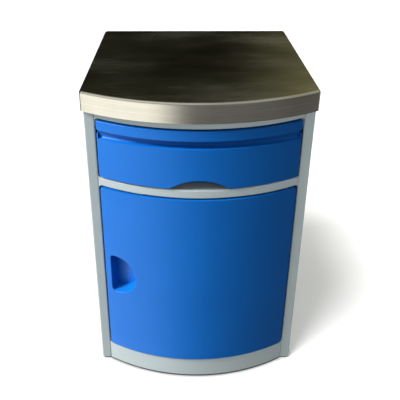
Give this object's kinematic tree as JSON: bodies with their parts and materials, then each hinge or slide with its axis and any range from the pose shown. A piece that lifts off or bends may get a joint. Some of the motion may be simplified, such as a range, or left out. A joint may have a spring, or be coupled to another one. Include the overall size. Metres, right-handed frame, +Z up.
{
  "type": "bedside cabinet",
  "caption": "Free-standing ward bedside cabinet with a bowed front: stainless worktop, pull-out board, drawer with finger channel and scoop, and a hinged cupboard door with a moulded pull.",
  "frame": {"origin": "on the floor, under the middle of the overall box", "axes": "+Z up, front towards -Y, +X to the right of someone facing the front"},
  "size_m": [0.48, 0.5299, 0.72],
  "materials": {
    "stainless": "fine brushed along the width",
    "core_board": "raw particle board",
    "powder_coat": "light grey powder coat, satin",
    "rail_steel": "white epoxy coat",
    "blue_plastic": "satin moulded ABS",
    "liner_plastic": "matt grey ABS sheet",
    "board_laminate": "satin laminate",
    "zinc_steel": "zinc plated",
    "rubber": "matt",
    "nylon": "natural nylon",
    "black_plastic": "matt",
    "magnet": "ferrite and steel poles"
  },
  "bodies": {
    "carcass": {"back_panel": "powder_coat", "back_rivets": "zinc_steel", "base_panel": "powder_coat", "catch_body": "black_plastic", "catch_magnet": "magnet", "catch_screws": "zinc_steel", "cupboard_shelf": "powder_coat", "foot_nuts": "zinc_steel", "foot_screws": "zinc_steel", "front_roller_axles": "zinc_steel", "hinge_screws": "zinc_steel", "left_board_guide": "powder_coat", "left_drawer_rail": "rail_steel", "left_rail_bracket": "powder_coat", "left_shelf_bracket": "powder_coat", "left_side_panel": "powder_coat", "lower_hinge_pin": "zinc_steel", "lower_hinge_plate": "zinc_steel", "mid_rail": "powder_coat", "plinth": "powder_coat", "rail_screws": "zinc_steel", "right_board_guide": "powder_coat", "right_drawer_rail": "rail_steel", "right_rail_bracket": "powder_coat", "right_shelf_bracket": "powder_coat", "right_side_panel": "powder_coat", "rubber_feet": "rubber", "top_rail": "powder_coat", "upper_hinge_pin": "zinc_steel", "upper_hinge_plate": "zinc_steel", "worktop_core": "core_board", "worktop_screws": "zinc_steel", "worktop_skin": "stainless"},
    "board": {"board_panel": "board_laminate", "board_front": "blue_plastic", "board_screws": "zinc_steel", "board_stops": "nylon"},
    "drawer": {"drawer_front": "blue_plastic", "drawer_inner_front": "powder_coat", "drawer_screws": "zinc_steel", "right_drawer_side": "powder_coat", "left_drawer_side": "powder_coat", "drawer_bottom": "powder_coat", "drawer_back": "powder_coat", "right_drawer_runner": "rail_steel", "left_drawer_runner": "rail_steel", "rear_roller_axles": "zinc_steel"},
    "door": {"door_skin": "blue_plastic", "door_liner": "liner_plastic", "door_screws": "zinc_steel", "upper_hinge_bush": "nylon", "lower_hinge_bush": "nylon", "strike_plate": "zinc_steel", "strike_rivets": "zinc_steel"},
    "right_front_roller": {"right_front_roller": "nylon"},
    "left_front_roller": {"left_front_roller": "nylon"},
    "right_rear_roller": {"right_rear_roller": "nylon"},
    "left_rear_roller": {"left_rear_roller": "nylon"}
  },
  "joints": [
    {"name": "board_slide", "type": "slide", "parent": "carcass", "child": "board", "axis": [0, -1, 0], "range_m": [0, 0.28]},
    {"name": "drawer_slide", "type": "slide", "parent": "carcass", "child": "drawer", "axis": [0, -1, 0], "range_m": [0, 0.3]},
    {"name": "door_hinge", "type": "hinge", "parent": "carcass", "child": "door", "pos_m": [0.185, -0.196, 0.2805], "axis": [0, 0, 1], "range_deg": [0, 105]},
    {"name": "right_front_roller_spin", "type": "hinge", "parent": "carcass", "child": "right_front_roller", "pos_m": [0.2073, -0.166, 0.5532], "axis": [1, 0, 0], "continuous": true},
    {"name": "right_rear_roller_spin", "type": "hinge", "parent": "drawer", "child": "right_rear_roller", "pos_m": [0.2073, 0.212, 0.5532], "axis": [1, 0, 0], "continuous": true},
    {"name": "left_front_roller_spin", "type": "hinge", "parent": "carcass", "child": "left_front_roller", "pos_m": [-0.2073, -0.166, 0.5532], "axis": [1, 0, 0], "continuous": true},
    {"name": "left_rear_roller_spin", "type": "hinge", "parent": "drawer", "child": "left_rear_roller", "pos_m": [-0.2073, 0.212, 0.5532], "axis": [1, 0, 0], "continuous": true}
  ],
  "couplings": [
    {"joint": "right_front_roller_spin", "follows": "drawer_slide", "rad_per_m": 86.207},
    {"joint": "right_rear_roller_spin", "follows": "drawer_slide", "rad_per_m": 86.207},
    {"joint": "left_front_roller_spin", "follows": "drawer_slide", "rad_per_m": 86.207},
    {"joint": "left_rear_roller_spin", "follows": "drawer_slide", "rad_per_m": 86.207}
  ]
}
